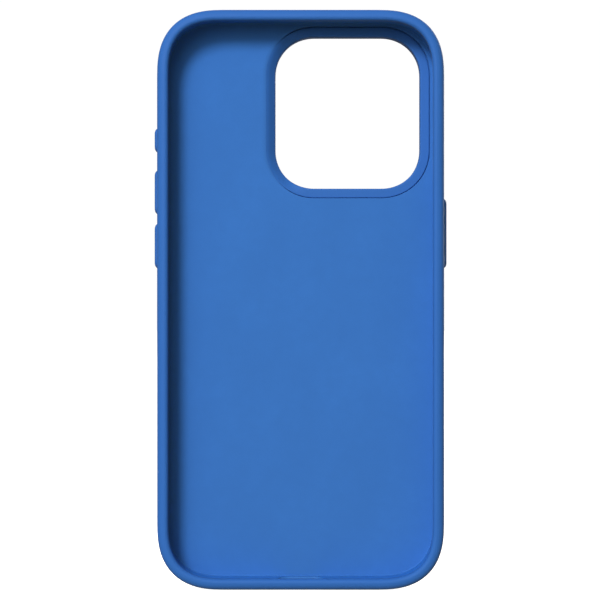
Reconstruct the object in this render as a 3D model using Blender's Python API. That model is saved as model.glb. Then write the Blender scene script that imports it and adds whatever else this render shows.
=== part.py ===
"""Silicone case for a 6.1-inch phone, standing on its bottom edge with its open side to -Y.

+X is the side of the long side button and +Z the phone's top end. The origin is under the
middle of the bottom edge. The soft skin is moulded round a hard core, the core's floor carries
a bonded fabric lining, and four buttons press inwards through slots in both walls.

Everything is laid out flat, with the open side up and heights counted from the camera bezel's
face, and hangs on one empty that stands it up.
"""

import math

import bmesh
import bpy
from mathutils import Euler

MM = 0.001

# The space for the phone, with its fitting clearance
POCKET_X = 70.7 * MM
POCKET_Y = 146.7 * MM
POCKET_CORNER = 12.3 * MM
POCKET_FLOOR_RADIUS = 0.3 * MM
PHONE_DEPTH = 8.25 * MM

# Layers of the side wall and of the back, from the inside out
LAYER_GAP = 0.05 * MM
LINING_THICK = 0.35 * MM
ADHESIVE_THICK = 0.08 * MM
CORE_WALL = 0.85 * MM
CORE_BACK = 0.75 * MM
SKIN_WALL = 1.05 * MM
SKIN_BACK = 0.85 * MM
WALL = CORE_WALL + LAYER_GAP + SKIN_WALL

# How far the lining and its adhesive stop short of the pocket's wall, and the adhesive of the ledge
LINING_INSET = 0.12 * MM
ADHESIVE_INSET = 0.8 * MM
ADHESIVE_CUT_BACK = 1.2 * MM

# The lip that folds over the phone's front edge
LIP_WIDTH = 3.0 * MM
LIP_THICK = 1.5 * MM
LIP_INNER_RADIUS = 0.95 * MM
RIM_RADIUS = 2.0 * MM
BACK_RADIUS = 2.4 * MM
CORE_BELOW_LIP = 1.6 * MM

# The camera window, its stepped ledge inside and its raised bezel outside
WINDOW_X = 38.5 * MM
WINDOW_Y = 40.4 * MM
WINDOW_CENTRE = (12.55 * MM, 49.8 * MM)
WINDOW_CORNER = 10.4 * MM
LEDGE_WIDTH = 2.4 * MM
LEDGE_DROP = 0.75 * MM
BEZEL_WIDTH = 2.6 * MM
BEZEL_PROUD = 1.8 * MM
BEZEL_RADIUS = 0.9 * MM
CUT_CLEARANCE = 0.3 * MM

# Heights, from the bezel's face up
BACK_Z = BEZEL_PROUD
CORE_Z = BACK_Z + SKIN_BACK + LAYER_GAP
CORE_FLOOR_Z = CORE_Z + CORE_BACK
ADHESIVE_Z = CORE_FLOOR_Z + LAYER_GAP
LINING_Z = ADHESIVE_Z + ADHESIVE_THICK + LAYER_GAP
FLOOR_Z = LINING_Z + LINING_THICK
LIP_Z = FLOOR_Z + PHONE_DEPTH
RIM_Z = LIP_Z + LIP_THICK
CORE_TOP_Z = LIP_Z - CORE_BELOW_LIP
PHONE_MID_Z = FLOOR_Z + PHONE_DEPTH / 2

# Buttons: name, side of the case, place along Y and length
BUTTONS = (
    ("action_button", -1, 41.8 * MM, 6.4 * MM),
    ("volume_up_button", -1, 28.2 * MM, 11.6 * MM),
    ("volume_down_button", -1, 14.1 * MM, 11.8 * MM),
    ("side_button", 1, 17.4 * MM, 18.4 * MM),
)
BUTTON_HEIGHT = 3.6 * MM
BUTTON_PROUD = 0.95 * MM
BUTTON_ROUND = 0.6 * MM
CAP_THICK = 1.80 * MM
KEY_THICK = 0.55 * MM
KEY_INSET = 0.6 * MM

# Openings in the bottom wall
PORT_X = 12.6 * MM
PORT_Z = 6.4 * MM
HOLE_RADIUS = 0.9 * MM
HOLE_PITCH = 2.9 * MM
HOLES_A_SIDE = 4
FIRST_HOLE_X = 10.6 * MM

CORNER_STEPS = 10
PILL_STEPS = 6
FILLET_STEPS = 4
HOLE_SIDES = 12
OVERCUT = 2.0 * MM


def clear_scene():
    for item in list(bpy.data.objects):
        bpy.data.objects.remove(item, do_unlink=True)


def new_collection(name):
    collection = bpy.data.collections.new(name)
    bpy.context.scene.collection.children.link(collection)
    return collection


def new_material(name, colour, roughness, metallic=0.0):
    material = bpy.data.materials.new(name)
    material.use_nodes = True
    shader = material.node_tree.nodes["Principled BSDF"]
    shader.inputs["Base Color"].default_value = (*colour, 1.0)
    shader.inputs["Roughness"].default_value = roughness
    shader.inputs["Metallic"].default_value = metallic
    return material


def loop_at(bm, z):
    """The level edges at height z."""
    return [e for e in bm.edges if all(abs(vert.co.z - z) < 1e-6 for vert in e.verts)]


def round_edges(bm, edges, radius, steps):
    bmesh.ops.bevel(
        bm,
        geom=edges,
        offset=radius,
        offset_type="OFFSET",
        segments=steps,
        profile=0.5,
        affect="EDGES",
        clamp_overlap=False,
    )


def block_mesh(size, corner, low, high, low_radius=0.0, high_radius=0.0, steps=CORNER_STEPS):
    """A block with round corners in plan and, where asked, round lower and upper edges."""
    bm = bmesh.new()
    bmesh.ops.create_cube(bm, size=1.0)
    for vert in bm.verts:
        vert.co.x *= size[0]
        vert.co.y *= size[1]
        vert.co.z = low if vert.co.z < 0 else high
    uprights = [e for e in bm.edges if abs(e.verts[0].co.z - e.verts[1].co.z) > 1e-6]
    round_edges(bm, uprights, corner, steps)
    if low_radius:
        round_edges(bm, loop_at(bm, low), low_radius, FILLET_STEPS)
    if high_radius:
        round_edges(bm, loop_at(bm, high), high_radius, FILLET_STEPS)
    return bm


def sink_top(bm, margin, depth, radius):
    """Sinks the middle of the top face, and rounds the edge that the margin keeps there."""
    top = max(bm.faces, key=lambda face: face.calc_center_median().z)
    bmesh.ops.inset_region(bm, faces=[top], thickness=margin, use_even_offset=True)
    sunk = bmesh.ops.extrude_face_region(bm, geom=[top])
    bmesh.ops.delete(bm, geom=[top], context="FACES")
    floor = [item for item in sunk["geom"] if isinstance(item, bmesh.types.BMVert)]
    bmesh.ops.translate(bm, verts=floor, vec=(0, 0, -depth))
    bm.normal_update()
    walls = {face for vert in floor for face in vert.link_faces if abs(face.normal.z) < 0.5}
    ends = [e for e in bm.edges if len(walls.intersection(e.link_faces)) == 1]
    rim = [e for e in ends if e.verts[0] not in floor]
    round_edges(bm, rim, radius, FILLET_STEPS)


def new_axes(name, at, turn, parent=None):
    """An empty that pieces hang on."""
    axes = bpy.data.objects.new(name, None)
    axes.location = at
    axes.rotation_euler = Euler(turn)
    axes.parent = parent
    parts.objects.link(axes)
    return axes


def place(bm, name, collection, material=None, at=(0, 0, 0), turn=(0, 0, 0), parent=None):
    bmesh.ops.recalc_face_normals(bm, faces=bm.faces)
    mesh = bpy.data.meshes.new(name)
    bm.to_mesh(mesh)
    bm.free()
    thing = bpy.data.objects.new(name, mesh)
    thing.location = at
    thing.rotation_euler = Euler(turn)
    thing.parent = parent or stand
    collection.objects.link(thing)
    if material:
        mesh.materials.append(material)
    return thing


def cutter(bm, name, at=(0, 0, 0), turn=(0, 0, 0)):
    thing = place(bm, name, cutters, at=at, turn=turn)
    thing.hide_render = True
    thing.display_type = "WIRE"
    return thing


def combine(thing, other, operation="DIFFERENCE"):
    modifier = thing.modifiers.new(other.name, "BOOLEAN")
    modifier.operation = operation
    modifier.solver = "EXACT"
    modifier.object = other


def finish(thing):
    thing.data.shade_smooth()
    thing.data.set_sharp_from_angle(angle=math.radians(35))


def pocket_block(outset, low, high, low_radius=0.0, high_radius=0.0):
    """A block that follows the phone pocket's outline, larger all round by outset."""
    size = (POCKET_X + 2 * outset, POCKET_Y + 2 * outset)
    return block_mesh(size, POCKET_CORNER + outset, low, high, low_radius, high_radius)


def window_block(outset, low, high, low_radius=0.0):
    """A block that follows the camera window's outline, larger all round by outset."""
    size = (WINDOW_X + 2 * outset, WINDOW_Y + 2 * outset)
    return block_mesh(size, WINDOW_CORNER + outset, low, high, low_radius)


def window_cutter(name, outset, low, high):
    return cutter(window_block(outset, low, high), name, at=(*WINDOW_CENTRE, 0))


def pill_block(size, low, high, high_radius=0.0):
    """A block with half-round ends, in plan along X."""
    corner = size[1] / 2 - 0.02 * MM
    return block_mesh(size, corner, low, high, high_radius=high_radius, steps=PILL_STEPS)


def button_turn(side):
    """Turns a pill so that it lies along Y and faces out of the left or right wall."""
    return (math.pi / 2, 0, side * math.pi / 2)


def button_cutters():
    """One slot for each button, through both walls."""
    slots = []
    for name, side, y, length in BUTTONS:
        size = (length + 2 * CUT_CLEARANCE, BUTTON_HEIGHT + 2 * CUT_CLEARANCE)
        slot = pill_block(size, -WALL - OVERCUT, OVERCUT)
        x = side * (POCKET_X / 2 + WALL)
        slots.append(cutter(slot, f"{name}_slot", (x, y, PHONE_MID_Z), button_turn(side)))
    return slots


def port_cutters():
    """The charging port's opening and a row of small round holes on each side of it."""
    wall_y = -POCKET_Y / 2
    turn = (math.pi / 2, 0, 0)
    port = pill_block((PORT_X, PORT_Z), -OVERCUT, WALL + OVERCUT)
    openings = [cutter(port, "charging_port_opening", (0, wall_y, PHONE_MID_Z), turn)]
    for side in (-1, 1):
        for number in range(HOLES_A_SIDE):
            bm = bmesh.new()
            bmesh.ops.create_cone(
                bm,
                cap_ends=True,
                segments=HOLE_SIDES,
                radius1=HOLE_RADIUS,
                radius2=HOLE_RADIUS,
                depth=2 * (WALL + OVERCUT),
            )
            x = side * (FIRST_HOLE_X + number * HOLE_PITCH)
            openings.append(cutter(bm, "sound_hole", (x, wall_y, PHONE_MID_Z), turn))
    return openings


def make_skin(material, wall_openings):
    bm = pocket_block(WALL, BACK_Z, RIM_Z, BACK_RADIUS, RIM_RADIUS)
    flat_margin = LIP_WIDTH - RIM_RADIUS
    sink_top(bm, flat_margin, LIP_THICK + 0.5 * MM, LIP_INNER_RADIUS)
    skin = place(bm, "outer_skin", parts, material)

    cavity_radius = POCKET_FLOOR_RADIUS + CORE_WALL + LAYER_GAP
    cavity = pocket_block(
        CORE_WALL + LAYER_GAP, CORE_Z - LAYER_GAP, CORE_TOP_Z + LAYER_GAP, cavity_radius
    )
    combine(skin, cutter(cavity, "core_cavity"))
    pocket = pocket_block(0, CORE_FLOOR_Z, LIP_Z)
    combine(skin, cutter(pocket, "skin_pocket"))

    at_window = (*WINDOW_CENTRE, 0)
    bezel = window_block(BEZEL_WIDTH, 0, BACK_Z + SKIN_BACK * 2 / 3, BEZEL_RADIUS)
    combine(skin, cutter(bezel, "bezel_block", at_window), "UNION")
    ledge = window_block(LEDGE_WIDTH, BACK_Z + SKIN_BACK / 3, FLOOR_Z - LEDGE_DROP)
    combine(skin, cutter(ledge, "ledge_block", at_window), "UNION")
    combine(skin, window_cutter("skin_window", 0, -OVERCUT, PHONE_MID_Z))
    for opening in wall_openings:
        combine(skin, opening)
    return skin


def make_core(material, wall_openings):
    radius = POCKET_FLOOR_RADIUS + CORE_WALL
    core = place(pocket_block(CORE_WALL, CORE_Z, CORE_TOP_Z, radius), "inner_core", parts, material)
    pocket = pocket_block(0, CORE_FLOOR_Z, CORE_TOP_Z + OVERCUT, POCKET_FLOOR_RADIUS)
    combine(core, cutter(pocket, "core_pocket"))
    combine(core, window_cutter("core_window", LEDGE_WIDTH + CUT_CLEARANCE, 0, RIM_Z))
    for opening in wall_openings:
        combine(core, opening)
    return core


def make_sheet(name, material, inset, low, thick, window_outset):
    """A thin flat layer on the core's floor, with its own camera window."""
    sheet = place(pocket_block(-inset, low, low + thick), name, parts, material)
    combine(sheet, window_cutter(f"{name}_window", window_outset, 0, RIM_Z))
    return sheet


def make_button(name, side, y, length, cap_material, key_material):
    """The soft cap outside and the hard key bonded behind it, both on the slide's axis."""
    at = (side * (POCKET_X / 2 + WALL), y, PHONE_MID_Z)
    hub = new_axes(f"{name}_axis", at, button_turn(side), stand)
    cap_low = BUTTON_PROUD - CAP_THICK
    cap = pill_block((length, BUTTON_HEIGHT), cap_low, BUTTON_PROUD, BUTTON_ROUND)
    key_high = cap_low - LAYER_GAP
    size = (length - 2 * KEY_INSET, BUTTON_HEIGHT - 2 * KEY_INSET)
    key = pill_block(size, key_high - KEY_THICK, key_high)
    return [
        place(cap, f"{name}_cap", parts, cap_material, parent=hub),
        place(key, f"{name}_key", parts, key_material, parent=hub),
    ]


clear_scene()
parts = new_collection("phone_case")
cutters = new_collection("cutters")
half_length = POCKET_Y / 2 + WALL
stand = new_axes("stand", (0, RIM_Z / 2, half_length), (math.pi / 2, 0, 0))

blue = (0.040, 0.178, 0.515)
silicone = new_material("soft_silicone", blue, 0.62)
polycarbonate = new_material("polycarbonate", (0.034, 0.150, 0.440), 0.38)
microfibre = new_material("microfibre", (0.044, 0.184, 0.520), 0.95)
adhesive = new_material("adhesive_film", (0.75, 0.76, 0.74), 0.30)
cap_silicone = new_material("cap_silicone", blue, 0.60)
key_plastic = new_material("key_plastic", (0.030, 0.120, 0.360), 0.42)

slots_and_ports = button_cutters() + port_cutters()
solids = [
    make_skin(silicone, slots_and_ports),
    make_core(polycarbonate, slots_and_ports),
    make_sheet("lining", microfibre, LINING_INSET, LINING_Z, LINING_THICK, LEDGE_WIDTH),
    make_sheet(
        "lining_adhesive",
        adhesive,
        ADHESIVE_INSET,
        ADHESIVE_Z,
        ADHESIVE_THICK,
        LEDGE_WIDTH + ADHESIVE_CUT_BACK,
    ),
]
for button in BUTTONS:
    solids += make_button(*button, cap_silicone, key_plastic)
for solid in solids:
    finish(solid)
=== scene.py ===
"""A soft silicone phone case, seen from its open side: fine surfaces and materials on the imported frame.

Sizes are in millimetres in the laid-out frame that the sections are drawn in: x across, y along the
phone, z out of the open side, with z = 0 at the camera bezel's face. to_world() stands it upright.
"""

import math

import bmesh
import bpy
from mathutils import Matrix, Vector


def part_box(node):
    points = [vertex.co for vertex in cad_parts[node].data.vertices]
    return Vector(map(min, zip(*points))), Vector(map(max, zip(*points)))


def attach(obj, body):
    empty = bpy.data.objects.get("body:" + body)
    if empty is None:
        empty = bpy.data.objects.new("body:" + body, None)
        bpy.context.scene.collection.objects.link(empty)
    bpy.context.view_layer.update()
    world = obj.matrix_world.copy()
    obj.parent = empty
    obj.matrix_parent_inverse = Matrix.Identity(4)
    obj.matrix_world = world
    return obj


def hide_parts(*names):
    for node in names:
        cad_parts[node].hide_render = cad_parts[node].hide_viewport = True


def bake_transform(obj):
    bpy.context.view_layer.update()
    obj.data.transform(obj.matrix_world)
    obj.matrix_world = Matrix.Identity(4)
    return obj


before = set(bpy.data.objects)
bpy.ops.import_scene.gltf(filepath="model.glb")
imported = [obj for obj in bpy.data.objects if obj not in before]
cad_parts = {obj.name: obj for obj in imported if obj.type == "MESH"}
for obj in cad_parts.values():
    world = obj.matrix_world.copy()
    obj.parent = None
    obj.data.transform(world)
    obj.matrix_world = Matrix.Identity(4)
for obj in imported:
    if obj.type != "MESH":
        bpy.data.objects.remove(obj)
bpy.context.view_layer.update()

MM = 0.001

# Outline of the case: half sizes from the frame, corners a little fuller than a circle's
SKIN_LOW, SKIN_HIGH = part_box("outer_skin")
HALF_X = SKIN_HIGH.x / MM
HALF_Y = (SKIN_HIGH.z - SKIN_LOW.z) / 2 / MM
RIM_Z = (SKIN_HIGH.y - SKIN_LOW.y) / MM
CORNER = 17.25
CORNER_POWER = 2.54

# Heights of the layers, from the bezel's face up
BACK_Z = 1.8
CORE_Z = (SKIN_HIGH.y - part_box("inner_core")[1].y) / MM
CORE_TOP_Z = (SKIN_HIGH.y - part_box("inner_core")[0].y) / MM
CORE_FLOOR_Z = 3.45
LINING_Z = (SKIN_HIGH.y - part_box("lining")[1].y) / MM
FLOOR_Z = (SKIN_HIGH.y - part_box("lining")[0].y) / MM
LIP_Z = 12.23
MID_Z = FLOOR_Z + (LIP_Z - FLOOR_Z) / 2
LAYER_GAP = 0.05

# Walls, from the outside in, and the rounds along their edges
SKIN_WALL = 1.05
WALL = 1.95
LIP_WIDTH = 3.0
LIP_FOOT_ROUND = 0.15
LIP_EDGE_ROUND = 0.12
RIM_OUTER_ROUND = 2.0
RIM_INNER_ROUND = 0.95
BACK_ROUND = 2.4
CORE_ROUND = 1.15
CORE_EDGE_ROUND = 0.1
FLOOR_ROUND = 0.3

# The lining's outer edge: the sheet's own edge, and its nap, which curls a little up the walls
LINING_EDGE = WALL + 0.12
LINING_EDGE_ROUND = 0.04
NAP_EDGE = WALL + 0.012
NAP_THICK = 0.05
EDGE_CURL = 0.28
CURL_TIP = 0.02

# The camera window with its ledge inside and its bezel outside
WINDOW_X = 38.5
WINDOW_Y = 40.4
WINDOW_CENTRE = (12.55, 49.8)
WINDOW_CORNER = 10.4
WINDOW_POWER = 2.07
BEZEL_WIDTH = 2.6
BEZEL_FOOT_ROUND = 0.16
BEZEL_OUTER_ROUND = 0.9
BEZEL_INNER_ROUND = 0.45
BEZEL_WALL_TOP = 1.2
LEDGE_WIDTH = 2.4
LEDGE_DROP = 0.75
CORE_CUT = LEDGE_WIDTH + 0.3
WINDOW_EDGE_ROUND = 0.35
# How far outside the window the ledge's rings lie, close together where it rounds off
LEDGE_RINGS = (0.0, 0.02, 0.06, 0.12, 0.22, 0.35, 0.6, 0.9, 1.2, 1.5, 1.8, 2.1, 2.3)
# Soft edges by the step, as (distance from the edge, how far the surface has fallen there)
LEDGE_EDGE = ((0.03, 0.03), (0.0, 0.1))
CUT_EDGE = ((0.05, 0.012), (0.015, 0.045), (0.0, 0.1))

# The gap between ledge and lining, wider at the window's top and closed at the roll-off
LEDGE_GAP = 0.2
TOP_GAP = 0.34
ROLL_GAP = 0.03
# On the window's left the ledge rises to the floor and rolls off softly: its arc's radius, where
# it starts outside the window, its slope, and the degrees from due left where it is full and gone
ROLL_RADIUS = 3.4
ROLL_START = 3.7
ROLL_SLOPE = 42
ROLL_FULL = 36
ROLL_NONE = 80
# The share of a soft edge's fall that the roll-off takes up, and the lining's band that bends
ROLL_FALL_LOST = 0.8
BEND_START = 0.1
BEND_WIDTH = 0.05
ROLL_BEND_WIDTH = 1.2
BEND_STEPS = 5

# Buttons: name, side of the case, place along y and length
BUTTONS = (
    ("action_button", -1, 41.8, 6.4),
    ("volume_up_button", -1, 28.2, 11.6),
    ("volume_down_button", -1, 14.1, 11.8),
    ("side_button", 1, 17.4, 18.4),
)
BUTTON_HEIGHT = 3.6
BUTTON_PROUD = 0.95
BUTTON_DEPTH = 0.85
# A cap starts to swell this far below the wall's face, and is at its full height this far in
BUTTON_BASE = 0.1
BUTTON_RAMP = 1.2
CAP_CHAMFER = 0.05
SLOT_CLEARANCE = 0.3
SLOT_FLARE = 0.28
KEY_OUTER = -0.9
KEY_INNER = -1.45
KEY_INSET = 0.6
KEY_ROUND = 0.12
WEB_OUTER_DEPTH = 0.5
WEB_INNER_DEPTH = 0.12
WEB_THICK = 0.1
WEB_OVERLAP = 0.03

# Openings in the bottom wall
PORT_X = 12.6
PORT_Z = 6.4
PORT_FLARE = 0.4
HOLE_RADIUS = 0.9
HOLE_FLARE = 0.2
HOLE_PITCH = 2.9
HOLES_A_SIDE = 4
FIRST_HOLE_X = 10.6

# Making: cutters reach past what they cut, and a flat face starts a little inside its fillet
CUT_BEYOND = 2.0
FLARE_PROUD = 0.004
FLAT_MARGIN = 0.04
WELD_DISTANCE = 0.0005
SHARP_ANGLE = 38
CORNER_STEPS = 28
WINDOW_STEPS = 24
PILL_STEPS = 16
HOLE_STEPS = 8
ARC_STEPS = 8
FINE_ARC_STEPS = 4
CURL_STEPS = 5
WEB_STEPS = 6


# ---- shape helpers ----------------------------------------------------------------------------


def to_world(x, y, z):
    """The laid-out frame, in millimetres, to the frame the case stands upright in, in metres."""
    return Vector((x * MM, SKIN_HIGH.y - z * MM, SKIN_LOW.z + (y + HALF_Y) * MM))


def rounded_outline(half_x, half_y, corner, power, steps, centre=(0, 0)):
    """Points (x, y, normal x, normal y) anticlockwise round a rectangle with superellipse corners."""
    quarter = []
    for step in range(steps + 1):
        angle = math.pi / 2 * step / steps
        c, s = max(math.cos(angle), 0.0), math.sin(angle)
        reach = (c ** (power / (power - 1)) + s ** (power / (power - 1))) ** (1 / power)
        x = half_x - corner + corner * c ** (1 / (power - 1)) / reach
        y = half_y - corner + corner * s ** (1 / (power - 1)) / reach
        quarter.append((x, y, c, s))
    turns = ((1, 1, quarter), (-1, 1, quarter[::-1]), (-1, -1, quarter), (1, -1, quarter[::-1]))
    return [
        (centre[0] + sx * x, centre[1] + sy * y, sx * c, sy * s)
        for sx, sy, points in turns
        for x, y, c, s in points
    ]


def rounded_path(corners, steps=ARC_STEPS):
    """A section's path through (offset, height, radius), each corner rounded by its own radius."""
    path = []
    for index, (a, b, radius) in enumerate(corners):
        if not radius:
            path.append((a, b))
            continue
        here = Vector((a, b))
        before = (Vector(corners[index - 1][:2]) - here).normalized()
        after = (Vector(corners[index + 1][:2]) - here).normalized()
        half_angle = before.angle(after) / 2
        centre = here + (before + after).normalized() * radius / math.sin(half_angle)
        first = here + before * radius / math.tan(half_angle) - centre
        last = here + after * radius / math.tan(half_angle) - centre
        sweep = first.angle(last)
        for step in range(steps + 1):
            share = step / steps
            spoke = (
                first * math.sin((1 - share) * sweep) + last * math.sin(share * sweep)
            ) / math.sin(sweep)
            path.append(tuple(centre + spoke))
    return path


def along(value, outline):
    """One value for each point of an outline, from a list or from a single number."""
    return value if isinstance(value, list) else [value] * len(outline)


def ring(bm, outline, offset, height, place=to_world):
    """One loop of vertices along an outline, moved out by offset. Both may vary along it."""
    return [
        bm.verts.new(place(x + nx * out, y + ny * out, z))
        for (x, y, nx, ny), out, z in zip(outline, along(offset, outline), along(height, outline))
    ]


def loft(bm, rings):
    """Faces between each ring and the next."""
    for low, high in zip(rings, rings[1:]):
        count = len(low)
        for i in range(count):
            j = (i + 1) % count
            bm.faces.new((low[i], low[j], high[j], high[i]))


def fill_between(bm, outer, inner):
    """A flat area between two loops."""
    edges = []
    for loop in (outer, inner):
        count = len(loop)
        for i in range(count):
            pair = (loop[i], loop[(i + 1) % count])
            edges.append(bm.edges.get(pair) or bm.edges.new(pair))
    bmesh.ops.triangle_fill(bm, use_beauty=True, edges=edges)


def closed_tube(bm, outline, path, place=to_world):
    """A closed body along a path of (offset, height), its two ends filled flat."""
    rings = [ring(bm, outline, offset, height, place) for offset, height in path]
    loft(bm, rings)
    bm.faces.new(rings[0])
    bm.faces.new(rings[-1])


def finish_mesh(bm, name):
    """An object in the scene from finished mesh data, its faces pointing out."""
    bmesh.ops.remove_doubles(bm, verts=bm.verts, dist=WELD_DISTANCE * MM)
    bmesh.ops.recalc_face_normals(bm, faces=bm.faces)
    mesh = bpy.data.meshes.new(name)
    bm.to_mesh(mesh)
    bm.free()
    thing = bpy.data.objects.new(name, mesh)
    bpy.context.scene.collection.objects.link(thing)
    return thing


def shade(thing):
    """Smooth shading that leaves flat faces flat and hard edges hard."""
    thing.data.shade_smooth()
    thing.data.set_sharp_from_angle(angle=math.radians(SHARP_ANGLE))
    weighted = thing.modifiers.new("weighted_normals", "WEIGHTED_NORMAL")
    weighted.keep_sharp = True


def cut(thing, cutter):
    """Takes the cutter's shape out of a piece for good, and removes the cutter."""
    modifier = thing.modifiers.new("cut", "BOOLEAN")
    modifier.operation = "DIFFERENCE"
    modifier.solver = "EXACT"
    modifier.object = cutter
    bpy.context.view_layer.update()
    graph = bpy.context.evaluated_depsgraph_get()
    mesh = bpy.data.meshes.new_from_object(thing.evaluated_get(graph))
    thing.modifiers.remove(modifier)
    old = thing.data
    thing.data = mesh
    bpy.data.meshes.remove(old)
    mesh.name = thing.name
    bpy.data.objects.remove(cutter)


# ---- the two outlines that everything follows ---------------------------------------------------

case_outline = rounded_outline(HALF_X, HALF_Y, CORNER, CORNER_POWER, CORNER_STEPS)
window_outline = rounded_outline(
    WINDOW_X / 2, WINDOW_Y / 2, WINDOW_CORNER, WINDOW_POWER, WINDOW_STEPS, WINDOW_CENTRE
)


def soft_step(value):
    """From 0 to 1 with a smooth start and end."""
    value = min(max(value, 0.0), 1.0)
    return value * value * (3 - 2 * value)


def roll_share(nx):
    """How far the ledge gives way to the soft roll-off: 1 on the window's left, 0 elsewhere."""
    from_left = math.degrees(math.acos(min(max(-nx, -1.0), 1.0)))
    return soft_step((ROLL_NONE - from_left) / (ROLL_NONE - ROLL_FULL))


def roll_drop(outset):
    """How far the roll-off lies below the floor: an arc from where it starts, then a straight slope."""
    slope = math.radians(ROLL_SLOPE)
    inward = max(ROLL_START - outset, 0.0)
    in_arc = min(inward, ROLL_RADIUS * math.sin(slope))
    arc_drop = ROLL_RADIUS - math.sqrt(ROLL_RADIUS**2 - in_arc**2)
    return arc_drop + (inward - in_arc) * math.tan(slope)


roll = [roll_share(nx) for _, _, nx, _ in window_outline]


def ledge_heights(outset):
    """The ledge's height round the window, rounded off at the window's edge."""
    edge = max(WINDOW_EDGE_ROUND - outset, 0.0)
    rounding = WINDOW_EDGE_ROUND - math.sqrt(WINDOW_EDGE_ROUND**2 - edge**2)
    low = FLOOR_Z - LEDGE_DROP - rounding
    return [low + share * (LEDGE_DROP - roll_drop(outset)) for share in roll]


def lining_heights(outset):
    """The lining's top beside the window. The distance outside the window may vary round it."""
    return [FLOOR_Z - share * roll_drop(at) for share, at in zip(roll, along(outset, roll))]


def fallen(heights, fall):
    """Heights lowered by a soft edge, and less so where the edge belongs to the roll-off."""
    return [
        height - fall * (1 - ROLL_FALL_LOST * share) for height, share in zip(heights, roll)
    ]


# ---- openings in the walls ----------------------------------------------------------------------


def button_place(side, middle):
    """Places a pill's (along, across, outward) on the left or right wall."""
    return lambda u, v, h: to_world(side * (HALF_X + h), middle + u, MID_Z + v)


def bottom_place(middle):
    """Places an opening's (along, across, outward) on the bottom wall."""
    return lambda u, v, h: to_world(middle + u, -HALF_Y - h, MID_Z + v)


def pill_outline(length, height):
    """A slot's outline with half circles at its ends."""
    return rounded_outline(length / 2, height / 2, height / 2, 2.0, PILL_STEPS)


def opening(name, outline, outset, flare, place):
    """A cutter that opens out in a soft round mouth at the wall's outer face."""
    path = [(outset, -WALL - CUT_BEYOND)]
    for step in range(ARC_STEPS + 1):
        angle = math.pi / 2 * step / ARC_STEPS
        height = flare * (math.sin(angle) - 1) + FLARE_PROUD
        path.append((outset + flare * (1 - math.cos(angle)), height))
    path.append((outset + flare, CUT_BEYOND))
    bm = bmesh.new()
    closed_tube(bm, outline, path, place)
    return finish_mesh(bm, name)


def wall_openings():
    """The cutters for the button slots, the port and the sound openings."""
    made = []
    for name, side, middle, length in BUTTONS:
        outline = pill_outline(length, BUTTON_HEIGHT)
        place = button_place(side, middle)
        made.append(opening(f"{name}_slot", outline, SLOT_CLEARANCE, SLOT_FLARE, place))
    port = pill_outline(PORT_X, PORT_Z)
    made.append(opening("port_opening", port, 0.0, PORT_FLARE, bottom_place(0.0)))
    hole = rounded_outline(HOLE_RADIUS, HOLE_RADIUS, HOLE_RADIUS, 2.0, HOLE_STEPS)
    for side in (-1, 1):
        for number in range(HOLES_A_SIDE):
            x = side * (FIRST_HOLE_X + number * HOLE_PITCH)
            made.append(opening("sound_opening", hole, 0.0, HOLE_FLARE, bottom_place(x)))
    return made


# ---- pieces of the case --------------------------------------------------------------------------


def make_skin():
    """The moulded silicone: lip, walls, back, bezel and ledge, as one closed surface."""
    skin_floor = CORE_Z - LAYER_GAP
    walls = rounded_path(
        [
            (-SKIN_WALL - CORE_ROUND - LAYER_GAP - FLAT_MARGIN, skin_floor, 0),
            (-SKIN_WALL, skin_floor, CORE_ROUND + LAYER_GAP),
            (-SKIN_WALL, CORE_TOP_Z + LAYER_GAP, 0),
            (-WALL, CORE_TOP_Z + LAYER_GAP, 0),
            (-WALL, LIP_Z, LIP_FOOT_ROUND),
            (-LIP_WIDTH, LIP_Z, LIP_EDGE_ROUND),
            (-LIP_WIDTH, RIM_Z, RIM_INNER_ROUND),
            (0, RIM_Z, RIM_OUTER_ROUND),
            (0, BACK_Z, BACK_ROUND),
            (-BACK_ROUND - FLAT_MARGIN, BACK_Z, 0),
        ]
    )
    bezel = rounded_path(
        [
            (BEZEL_WIDTH + BEZEL_FOOT_ROUND + FLAT_MARGIN, BACK_Z, 0),
            (BEZEL_WIDTH, BACK_Z, BEZEL_FOOT_ROUND),
            (BEZEL_WIDTH, 0, BEZEL_OUTER_ROUND),
            (0, 0, BEZEL_INNER_ROUND),
            (0, BEZEL_WALL_TOP, 0),
        ]
    )
    bm = bmesh.new()
    wall_rings = [ring(bm, case_outline, *point) for point in walls]
    window_rings = [ring(bm, window_outline, *point) for point in bezel]
    for outset in LEDGE_RINGS:
        window_rings.append(ring(bm, window_outline, outset, ledge_heights(outset)))
    for inside, fall in LEDGE_EDGE:
        outset = LEDGE_WIDTH - inside
        window_rings.append(ring(bm, window_outline, outset, fallen(ledge_heights(outset), fall)))
    window_rings.append(ring(bm, window_outline, LEDGE_WIDTH, skin_floor))
    loft(bm, wall_rings)
    loft(bm, window_rings)
    fill_between(bm, wall_rings[-1], window_rings[0])
    fill_between(bm, wall_rings[0], window_rings[-1])
    return finish_mesh(bm, "silicone_skin")


def make_core():
    """The hard tray inside the skin, without its window."""
    outside = SKIN_WALL + LAYER_GAP
    walls = rounded_path(
        [
            (-outside - CORE_ROUND - FLAT_MARGIN, CORE_Z, 0),
            (-outside, CORE_Z, CORE_ROUND),
            (-outside, CORE_TOP_Z, CORE_EDGE_ROUND),
            (-WALL, CORE_TOP_Z, CORE_EDGE_ROUND),
            (-WALL, CORE_FLOOR_Z, FLOOR_ROUND),
            (-WALL - FLOOR_ROUND - FLAT_MARGIN, CORE_FLOOR_Z, 0),
        ]
    )
    bm = bmesh.new()
    closed_tube(bm, case_outline, walls)
    return finish_mesh(bm, "core_tray")


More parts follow.
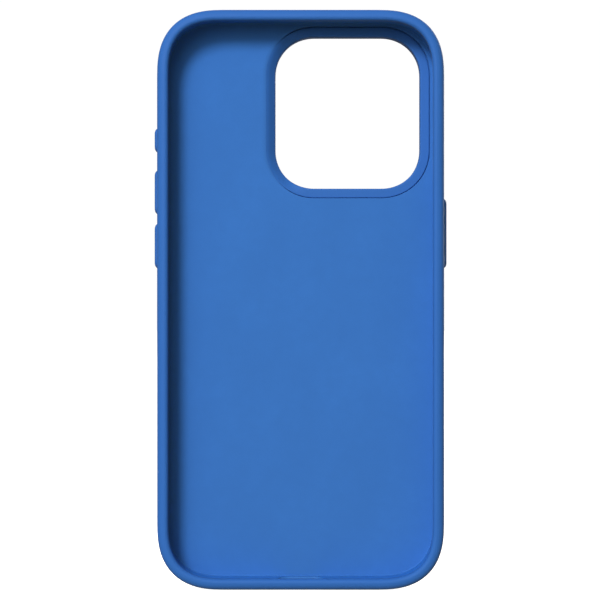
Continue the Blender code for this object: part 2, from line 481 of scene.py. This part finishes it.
def core_window():
    """The cutter for the tray's window."""
    bm = bmesh.new()
    closed_tube(bm, window_outline, [(CORE_CUT, BACK_Z), (CORE_CUT, MID_Z)])
    return finish_mesh(bm, "core_window")


def make_lining():
    """The microfibre sheet: its nap curls up the walls, and it bends down with the roll-off."""
    cut_edge = []
    for (_, _, _, ny), share in zip(window_outline, roll):
        gap = LEDGE_GAP + (TOP_GAP - LEDGE_GAP) * soft_step(ny)
        cut_edge.append(LEDGE_WIDTH + gap + (ROLL_GAP - gap) * share)
    wall_side = -NAP_EDGE - NAP_THICK
    curl_top = FLOOR_Z + EDGE_CURL + CURL_TIP
    outside = rounded_path(
        [
            (wall_side - EDGE_CURL - FLAT_MARGIN, FLOOR_Z, 0),
            (wall_side, FLOOR_Z, EDGE_CURL),
            (wall_side, curl_top, 0),
            (-NAP_EDGE, curl_top, 0),
            (-LINING_EDGE, LINING_Z, LINING_EDGE_ROUND),
            (-LINING_EDGE - LINING_EDGE_ROUND - FLAT_MARGIN, LINING_Z, 0),
        ],
        steps=CURL_STEPS,
    )
    bm = bmesh.new()
    outer_rings = [ring(bm, case_outline, *point) for point in outside]
    inner_rings = []
    for step in range(BEND_STEPS + 1):
        beyond = 1 - step / BEND_STEPS
        outsets = []
        for at, share in zip(cut_edge, roll):
            width = BEND_WIDTH + (ROLL_BEND_WIDTH - BEND_WIDTH) * share
            outsets.append(at + BEND_START + beyond * width)
        inner_rings.append(ring(bm, window_outline, outsets, lining_heights(outsets)))
    for beyond, fall in CUT_EDGE:
        outsets = [at + beyond for at in cut_edge]
        heights = fallen(lining_heights(outsets), fall)
        inner_rings.append(ring(bm, window_outline, outsets, heights))
    for beyond in (0.0, FLAT_MARGIN):
        outsets = [at + beyond for at in cut_edge]
        inner_rings.append(ring(bm, window_outline, outsets, LINING_Z))
    loft(bm, outer_rings)
    loft(bm, inner_rings)
    fill_between(bm, outer_rings[0], inner_rings[0])
    fill_between(bm, outer_rings[-1], inner_rings[-1])
    return finish_mesh(bm, "microfibre_lining")


def make_cap(name, side, middle, length):
    """A soft pill that swells out of its slot."""
    path = [
        (-CAP_CHAMFER - FLAT_MARGIN, -BUTTON_DEPTH),
        (-CAP_CHAMFER, -BUTTON_DEPTH),
        (0.0, -BUTTON_DEPTH + CAP_CHAMFER),
    ]
    for step in range(ARC_STEPS + 1):
        angle = math.pi / 2 * step / ARC_STEPS
        height = (BUTTON_PROUD + BUTTON_BASE) * math.sin(angle) - BUTTON_BASE
        path.append((-BUTTON_RAMP * (1 - math.cos(angle)), height))
    bm = bmesh.new()
    closed_tube(bm, pill_outline(length, BUTTON_HEIGHT), path, button_place(side, middle))
    return finish_mesh(bm, f"{name}_soft_cap")


def make_web(name, side, middle, length):
    """The thin skin in the groove round a button, from its slot's wall to its cap."""
    outer, inner = SLOT_CLEARANCE + WEB_OVERLAP, -WEB_OVERLAP
    bend = []
    for step in range(WEB_STEPS + 1):
        share = step / WEB_STEPS
        depth = WEB_OUTER_DEPTH + (WEB_INNER_DEPTH - WEB_OUTER_DEPTH) * soft_step(share)
        bend.append((outer + (inner - outer) * share, -depth))
    path = bend + [(offset, height - WEB_THICK) for offset, height in reversed(bend)]
    bm = bmesh.new()
    outline = pill_outline(length, BUTTON_HEIGHT)
    rings = [ring(bm, outline, *point, button_place(side, middle)) for point in path]
    loft(bm, rings + rings[:1])
    return finish_mesh(bm, f"{name}_web")


def make_key(name, side, middle, length):
    """The hard key bonded behind the cap, with a small round all along its edges."""
    flat_edge = -KEY_ROUND - FLAT_MARGIN
    path = rounded_path(
        [
            (flat_edge, KEY_INNER, 0),
            (0, KEY_INNER, KEY_ROUND),
            (0, KEY_OUTER, KEY_ROUND),
            (flat_edge, KEY_OUTER, 0),
        ],
        steps=FINE_ARC_STEPS,
    )
    outline = pill_outline(length - 2 * KEY_INSET, BUTTON_HEIGHT - 2 * KEY_INSET)
    bm = bmesh.new()
    closed_tube(bm, outline, path, button_place(side, middle))
    return finish_mesh(bm, f"{name}_hard_key")


# ---- materials ----------------------------------------------------------------------------------


SILICONE_BLUE = (0.0230, 0.117, 0.420)
LINING_BLUE = (0.0295, 0.136, 0.450)
# The tray's blue is lighter than the silicone's: painted light that lifts the strip of inner wall lying
# in shade
TRAY_BLUE_PAINTED_LIGHTER = (0.0205, 0.150, 0.520)
KEY_SHADE = 0.8
FILM_CLOUDY = (0.66, 0.67, 0.65)
FILM_CLEAR = (0.80, 0.81, 0.79)
FIBRE_SHEEN = (0.45, 0.65, 1.0, 1.0)


class Nodes:
    """Short calls for building one material's nodes. Sizes and heights are in millimetres."""

    def __init__(self, name):
        self.material = bpy.data.materials.new(name)
        self.material.use_nodes = True
        self.tree = self.material.node_tree
        self.shader = self.tree.nodes["Principled BSDF"]
        self.place = self.add("ShaderNodeTexCoord").outputs["Object"]

    def add(self, kind, **values):
        node = self.tree.nodes.new(kind)
        for key, value in values.items():
            setattr(node, key, value)
        return node

    def link(self, source, target):
        self.tree.links.new(source, target)

    def feed(self, socket, source):
        """An output into one of the shader's own sockets."""
        self.link(source, self.shader.inputs[socket])

    def set(self, **values):
        """Uniform values, straight on the shader's own sockets."""
        for key, value in values.items():
            self.shader.inputs[key.replace("_", " ")].default_value = value

    def noise(self, size, detail=2.0, roughness=0.5, stretch=None):
        """Noise with features of about the given size."""
        source = self.place
        if stretch:
            mapping = self.add("ShaderNodeMapping")
            mapping.inputs["Scale"].default_value = stretch
            self.link(source, mapping.inputs["Vector"])
            source = mapping.outputs["Vector"]
        node = self.add("ShaderNodeTexNoise")
        node.inputs["Scale"].default_value = 1 / (size * MM)
        node.inputs["Detail"].default_value = detail
        node.inputs["Roughness"].default_value = roughness
        self.link(source, node.inputs["Vector"])
        return node.outputs["Fac"]

    def ramp(self, source, low, high, start=0.0, end=1.0):
        """From low to high as the source goes from start to end."""
        node = self.add("ShaderNodeMapRange")
        node.inputs["From Min"].default_value = start
        node.inputs["From Max"].default_value = end
        node.inputs["To Min"].default_value = low
        node.inputs["To Max"].default_value = high
        self.link(source, node.inputs["Value"])
        return node.outputs["Result"]

    def patches(self, spread, **noise):
        """Noise whose middle range, spread to each side of a half, is drawn out to 0 and 1."""
        return self.ramp(self.noise(**noise), 0.0, 1.0, 0.5 - spread, 0.5 + spread)

    def blend(self, share, first, second):
        """A colour between two, each a plain colour or a colour's output."""
        node = self.add("ShaderNodeMix", data_type="RGBA")
        self.link(share, node.inputs["Factor"])
        for socket, value in (("A", first), ("B", second)):
            target = next(s for s in node.inputs if s.name == socket and s.type == "RGBA")
            if isinstance(value, tuple):
                target.default_value = (*value, 1.0)
            else:
                self.link(value, target)
        return next(s for s in node.outputs if s.type == "RGBA")

    def bump(self, pattern, height, strength=1.0, after=None):
        """A bump of the given real height, on top of another's where one is given."""
        node = self.add("ShaderNodeBump")
        node.inputs["Strength"].default_value = strength
        node.inputs["Distance"].default_value = height * MM
        self.link(pattern, node.inputs["Height"])
        if after:
            self.link(after, node.inputs["Normal"])
        return node.outputs["Normal"]


def tone(colour, factor):
    """The same colour, lighter or darker."""
    return tuple(channel * factor for channel in colour)


def silicone_material(name, colour, roughness=0.58):
    """Matte moulded silicone: a fine satin grain, faint clouding, and a dusty sheen."""
    n = Nodes(name)
    clouds = n.patches(spread=0.15, size=14.0, detail=3.0)
    specks = n.patches(spread=0.20, size=0.5)
    base = n.blend(clouds, tone(colour, 0.985), tone(colour, 1.015))
    n.feed("Base Color", n.blend(n.ramp(specks, 0.0, 0.12), base, tone(colour, 0.93)))
    n.feed("Roughness", n.ramp(n.noise(size=2.2), roughness - 0.05, roughness + 0.06))
    grain = n.bump(n.noise(size=0.22, detail=3.0, roughness=0.6), height=0.006)
    n.feed("Normal", n.bump(n.noise(size=5.5, detail=1.0), height=0.02, after=grain))
    n.set(IOR=1.41, Specular_IOR_Level=0.16, Sheen_Weight=0.02, Sheen_Roughness=0.5)
    return n.material


def microfibre_material(name, colour):
    """Short brushed fibres: a fine nap that mottles where it was stroked, with a soft sheen."""
    n = Nodes(name)
    fibres = n.noise(size=0.16, detail=4.0, roughness=0.65, stretch=(1.0, 1.0, 0.45))
    strokes = n.patches(spread=0.17, size=13.0, detail=3.0, stretch=(1.0, 1.0, 0.6))
    tufts = n.patches(spread=0.20, size=3.4, detail=3.0, roughness=0.6)
    base = n.blend(strokes, tone(colour, 0.965), tone(colour, 1.03))
    base = n.blend(n.ramp(tufts, 0.0, 0.55), base, tone(colour, 0.93))
    fibre_tips = n.ramp(fibres, 0.0, 0.34, start=0.45, end=0.80)
    n.feed("Base Color", n.blend(fibre_tips, base, tone(colour, 1.22)))
    n.feed("Roughness", n.ramp(fibres, 0.86, 1.0))
    nap = n.bump(fibres, height=0.022, strength=0.7)
    n.feed("Normal", n.bump(n.noise(size=2.6), height=0.03, after=nap))
    n.set(Specular_IOR_Level=0.12)
    n.set(Sheen_Weight=0.08, Sheen_Roughness=0.6, Sheen_Tint=FIBRE_SHEEN)
    return n.material


def plastic_material(name, colour, roughness=0.40):
    """Moulded hard plastic: satin, with a very fine spark-eroded grain and faint flow marks."""
    n = Nodes(name)
    flow = n.patches(spread=0.15, size=11.0, stretch=(1.0, 1.0, 0.3))
    n.feed("Base Color", n.blend(flow, tone(colour, 0.97), tone(colour, 1.03)))
    n.feed("Roughness", n.ramp(n.noise(size=0.7), roughness - 0.06, roughness + 0.08))
    n.feed("Normal", n.bump(n.noise(size=0.12), height=0.004))
    n.set(IOR=1.58)
    return n.material


def film_material(name):
    """A milky bonding film, slightly uneven where it was rolled on."""
    n = Nodes(name)
    clouds = n.patches(spread=0.20, size=6.0, detail=3.0)
    n.feed("Base Color", n.blend(clouds, FILM_CLOUDY, FILM_CLEAR))
    n.feed("Roughness", n.ramp(n.noise(size=1.1), 0.22, 0.40))
    n.feed("Normal", n.bump(n.noise(size=3.0, detail=1.0), height=0.01))
    return n.material


# ---- build ---------------------------------------------------------------------------------------

skin_blue = silicone_material("silicone_blue", SILICONE_BLUE)
cap_blue = silicone_material("button_silicone_blue", SILICONE_BLUE, 0.55)
lining_blue = microfibre_material("microfibre_blue", LINING_BLUE)
# The tray and its keys carry painted light: their blue is lighter to lift the inner wall that lies in
# shade
tray_blue = plastic_material("polycarbonate_blue", TRAY_BLUE_PAINTED_LIGHTER)
key_blue = plastic_material("key_blue", tone(TRAY_BLUE_PAINTED_LIGHTER, KEY_SHADE), 0.45)
film = film_material("bonding_film")


def settle(piece, material, node=None, body=None):
    """Gives a piece its material, hides the CAD node it stands for, and hangs it on the body it rides on.
    """
    piece.data.materials.clear()
    piece.data.materials.append(material)
    if node:
        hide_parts(node)
    if body:
        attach(piece, body)


skin = make_skin()
core = make_core()
cut(core, core_window())
for cutter in wall_openings():
    twin = cutter.copy()
    bpy.context.scene.collection.objects.link(twin)
    cut(skin, cutter)
    cut(core, twin)
for piece in (skin, core):
    shade(piece)
settle(skin, skin_blue, "outer_skin", "case")
settle(core, tray_blue, "inner_core", "case")

lining = make_lining()
shade(lining)
settle(lining, lining_blue, "lining", "case")

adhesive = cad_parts["lining_adhesive"]
adhesive.data.materials.clear()
adhesive.data.materials.append(film)

for button in BUTTONS:
    name, side, middle, length = button
    cap, key, web = make_cap(*button), make_key(*button), make_web(*button)
    for piece in (cap, key, web):
        shade(piece)
    settle(cap, cap_blue, f"{name}_cap", name)
    settle(key, key_blue, f"{name}_key", name)
    settle(web, skin_blue)
    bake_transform(web)


# ---- floor, light and camera ---------------------------------------------------------------------

# From here on in metres, in the upright frame
WHITE = (1.0, 1.0, 1.0, 1.0)
FLOOR_RADIUS = 3.0
FLOOR_DROP = 0.0006
FLOOR_GREY = (0.9, 0.9, 0.9, 1.0)
FLOOR_GLOW = 1.0
BACKDROP_RADIUS = 4.0
BACKDROP_GLOW = 1.02
AMBIENT = (0.375, 0.27, 0.16, 1.0)
LIGHT_DISTANCE = 1.8
# Name, direction it comes from, distance, size across and power in watts
LIGHTS = (
    ("back_light", (0.6, 1.0, 0.4), LIGHT_DISTANCE, 1.4, 24.0),
    ("key_light", (-0.37, -1.0, 0.57), LIGHT_DISTANCE, 0.54, 25.5),
    ("broad_light", (-0.37, -1.0, 0.40), LIGHT_DISTANCE + 0.1, 1.7, 17.0),
)
CAMERA_LENS = 81.27
CAMERA_SENSOR = 36.0
CAMERA_REACH = (0.01, 20.0)
# In millimetres, laid out: from the rim to the camera, and the camera's place across and along
VIEW_DISTANCE = 350.0
VIEW_OFFSET = (-0.16, -0.05)

scene = bpy.context.scene
scene.view_settings.view_transform = "Standard"


def hide_from_case(thing):
    """Keeps the stage's own brightness off the case, in its light and in its reflections."""
    thing.visible_diffuse = False
    thing.visible_glossy = False


def floor_material():
    """Pale and bright by itself, so that the floor is as even as the backdrop."""
    material = bpy.data.materials.new("pale_floor")
    material.use_nodes = True
    shader = material.node_tree.nodes["Principled BSDF"]
    shader.inputs["Base Color"].default_value = FLOOR_GREY
    shader.inputs["Roughness"].default_value = 0.9
    shader.inputs["Emission Color"].default_value = WHITE
    shader.inputs["Emission Strength"].default_value = FLOOR_GLOW
    return material


def backdrop_material():
    """White light alone."""
    material = bpy.data.materials.new("pale_backdrop")
    material.use_nodes = True
    tree = material.node_tree
    tree.nodes.remove(tree.nodes["Principled BSDF"])
    glow = tree.nodes.new("ShaderNodeEmission")
    glow.inputs["Color"].default_value = WHITE
    glow.inputs["Strength"].default_value = BACKDROP_GLOW
    tree.links.new(glow.outputs["Emission"], tree.nodes["Material Output"].inputs["Surface"])
    return material


def make_floor():
    """A wide disc just under the case."""
    bm = bmesh.new()
    bmesh.ops.create_circle(bm, cap_ends=True, segments=64, radius=FLOOR_RADIUS)
    bmesh.ops.translate(bm, verts=bm.verts, vec=(0, 0, SKIN_LOW.z - FLOOR_DROP))
    floor = finish_mesh(bm, "pale_floor")
    floor.data.materials.append(floor_material())
    hide_from_case(floor)
    return floor


def make_backdrop():
    """A dome all round, seen by the camera alone."""
    bm = bmesh.new()
    bmesh.ops.create_uvsphere(bm, u_segments=48, v_segments=24, radius=BACKDROP_RADIUS)
    dome = finish_mesh(bm, "pale_backdrop")
    dome.data.shade_smooth()
    dome.data.materials.append(backdrop_material())
    hide_from_case(dome)
    dome.visible_transmission = False
    dome.visible_shadow = False
    return dome


def set_ambient():
    """Weak light from all round."""
    scene.world = bpy.data.worlds.new("studio")
    scene.world.use_nodes = True
    background = scene.world.node_tree.nodes["Background"]
    background.inputs["Color"].default_value = AMBIENT
    background.inputs["Strength"].default_value = 1.0


def add_light(name, direction, distance, size, power):
    """A round soft light that faces the middle of the case."""
    target = Vector((0, 0, SKIN_LOW.z + HALF_Y * MM))
    lamp = bpy.data.lights.new(name, "AREA")
    lamp.shape = "DISK"
    lamp.size = size
    lamp.energy = power
    thing = bpy.data.objects.new(name, lamp)
    thing.location = target + Vector(direction).normalized() * distance
    thing.rotation_euler = (target - thing.location).to_track_quat("-Z", "Y").to_euler()
    scene.collection.objects.link(thing)


def add_camera():
    """The view straight into the open side."""
    camera = bpy.data.cameras.new("camera")
    camera.sensor_width = CAMERA_SENSOR
    camera.lens = CAMERA_LENS
    camera.clip_start, camera.clip_end = CAMERA_REACH
    thing = bpy.data.objects.new("camera", camera)
    thing.location = to_world(*VIEW_OFFSET, RIM_Z + VIEW_DISTANCE)
    thing.rotation_euler = (math.pi / 2, 0, 0)
    scene.collection.objects.link(thing)
    scene.camera = thing


make_floor()
set_ambient()
make_backdrop()
for light in LIGHTS:
    add_light(*light)
add_camera()
